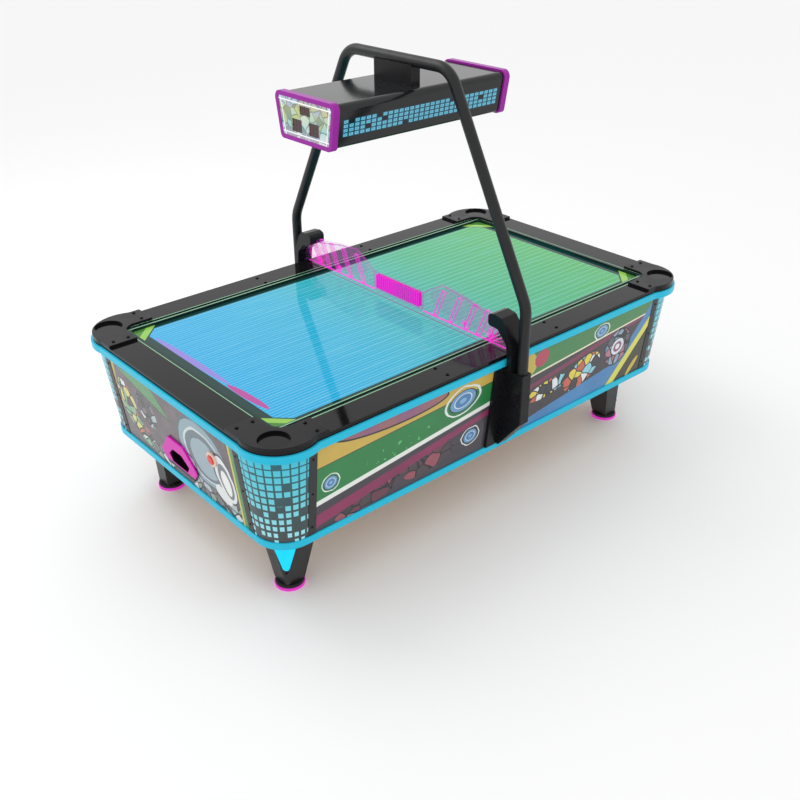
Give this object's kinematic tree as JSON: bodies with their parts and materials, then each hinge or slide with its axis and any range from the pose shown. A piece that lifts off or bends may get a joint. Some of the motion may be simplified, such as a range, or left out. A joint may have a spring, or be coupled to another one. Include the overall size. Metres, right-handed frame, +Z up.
{
  "type": "air hockey table",
  "caption": "Air hockey table with a lit playing surface, leaning printed cabinet, glowing trims, levelling feet, a clear divider and an overhead arch that carries a long score bar.",
  "frame": {"origin": "on the floor under the middle of the table", "axes": "+X along the table towards the rear goal, +Y across it towards the service door side, +Z up"},
  "size_m": [2.528, 1.64, 1.9409],
  "materials": {
    "rail_black": "gloss black laminate",
    "cap_black": "gloss black moulding",
    "bolt_black": "black oxide",
    "cushion_metal": "anodised",
    "field_lit": "lit print under clear acrylic",
    "birch_ply": "plywood, clear sealed",
    "galvanised": "galvanised sheet",
    "motor_grey": "grey enamel",
    "wheel_black": "glass-filled nylon",
    "trim_cyan": "lit diffuser",
    "side_print": "printed laminate",
    "end_print": "printed laminate",
    "corner_print": "printed laminate",
    "strip_black": "black extrusion",
    "cabinet_ply": "plywood",
    "leg_black": "black lacquered laminated wood",
    "shield_cyan": "acrylic",
    "foot_rubber": "moulded",
    "ring_magenta": "lit diffuser",
    "tube_black": "black powder coat",
    "post_black": "black moulding",
    "clear_sheet": "clear acrylic with etched lines",
    "sign_magenta": "edge-lit acrylic",
    "bar_black": "gloss black",
    "bar_magenta": "lit diffuser",
    "bar_print": "printed plate",
    "digit_dark": "smoked window",
    "bezel_magenta": "moulded",
    "chute_steel": "sheet steel",
    "button_red": "translucent",
    "button_ring": "moulded",
    "door_print": "printed laminate on plywood",
    "hinge_steel": "plated",
    "lock_chrome": "chrome",
    "inlet_black": "moulded",
    "case_grey": "grey enamel"
  },
  "bodies": {
    "table": {"air_box": "birch_ply", "arch_tube": "tube_black", "bar_end_plates": "bar_print", "bar_end_trims": "bar_magenta", "bar_hanger": "post_black", "blower_housing": "galvanised", "blower_motor": "motor_grey", "cabinet_floor": "cabinet_ply", "cabinet_walls": "cabinet_ply", "control_box": "case_grey", "corner_panels": "corner_print", "corner_posts": "cabinet_ply", "divider_hoods": "post_black", "divider_sheet": "clear_sheet", "divider_sign": "sign_magenta", "door_hinges": "hinge_steel", "edge_strips": "strip_black", "end_cushions": "cushion_metal", "front_left_cap": "cap_black", "front_panel": "end_print", "front_rail": "rail_black", "front_right_cap": "cap_black", "intake_grille": "galvanised", "left_panel": "side_print", "left_rail": "rail_black", "leg_shields": "shield_cyan", "legs": "leg_black", "low_light_trim": "trim_cyan", "mains_inlet": "inlet_black", "playfield": "field_lit", "post_covers": "post_black", "rail_bolts": "bolt_black", "rear_left_cap": "cap_black", "rear_panel": "end_print", "rear_rail": "rail_black", "rear_right_cap": "cap_black", "return_bezels": "bezel_magenta", "return_chutes": "chute_steel", "right_panel": "side_print", "right_rail": "rail_black", "score_bar": "bar_black", "score_digits": "digit_dark", "side_cushions": "cushion_metal", "start_bezels": "button_ring", "top_light_trim": "trim_cyan", "trim_screws": "bolt_black"},
    "front_left_foot": {"front_left_foot": "foot_rubber", "front_left_foot_ring": "ring_magenta"},
    "front_right_foot": {"front_right_foot": "foot_rubber", "front_right_foot_ring": "ring_magenta"},
    "rear_left_foot": {"rear_left_foot": "foot_rubber", "rear_left_foot_ring": "ring_magenta"},
    "rear_right_foot": {"rear_right_foot": "foot_rubber", "rear_right_foot_ring": "ring_magenta"},
    "front_start_button": {"front_start_button": "button_red"},
    "rear_start_button": {"rear_start_button": "button_red"},
    "blower_wheel": {"blower_wheel": "wheel_black"},
    "service_door": {"service_door": "door_print"},
    "door_lock": {"door_lock": "lock_chrome"},
    "rocker_switch": {"rocker_switch": "inlet_black"}
  },
  "joints": [
    {"name": "front_left_foot_level", "type": "slide", "parent": "table", "child": "front_left_foot", "axis": [0, 0, -1], "range_m": [0, 0.02]},
    {"name": "front_right_foot_level", "type": "slide", "parent": "table", "child": "front_right_foot", "axis": [0, 0, -1], "range_m": [0, 0.02]},
    {"name": "rear_left_foot_level", "type": "slide", "parent": "table", "child": "rear_left_foot", "axis": [0, 0, -1], "range_m": [0, 0.02]},
    {"name": "rear_right_foot_level", "type": "slide", "parent": "table", "child": "rear_right_foot", "axis": [0, 0, -1], "range_m": [0, 0.02]},
    {"name": "front_start_press", "type": "slide", "parent": "table", "child": "front_start_button", "axis": [0.9943, 0, 0.1064], "range_m": [0, 0.004], "stiffness_N_per_m": 400, "springref_m": -0.003},
    {"name": "rear_start_press", "type": "slide", "parent": "table", "child": "rear_start_button", "axis": [-0.9943, 0, 0.1064], "range_m": [0, 0.004], "stiffness_N_per_m": 400, "springref_m": -0.003},
    {"name": "blower_spin", "type": "hinge", "parent": "table", "child": "blower_wheel", "pos_m": [0, 0, 0.62], "axis": [0, 0, 1], "continuous": true},
    {"name": "service_door_swing", "type": "hinge", "parent": "table", "child": "service_door", "pos_m": [0.41, 0.69921, 0.55807], "axis": [0, 0.1064, 0.9943], "range_deg": [0, 110]},
    {"name": "door_lock_turn", "type": "hinge", "parent": "service_door", "child": "door_lock", "pos_m": [0.68, 0.69523, 0.5585], "axis": [0, 0.9943, -0.1064], "range_deg": [0, 90]},
    {"name": "rocker_tilt", "type": "hinge", "parent": "table", "child": "rocker_switch", "pos_m": [-0.586, 0.68056, 0.44021], "axis": [-1, 0, 0], "range_deg": [0, 12]}
  ]
}
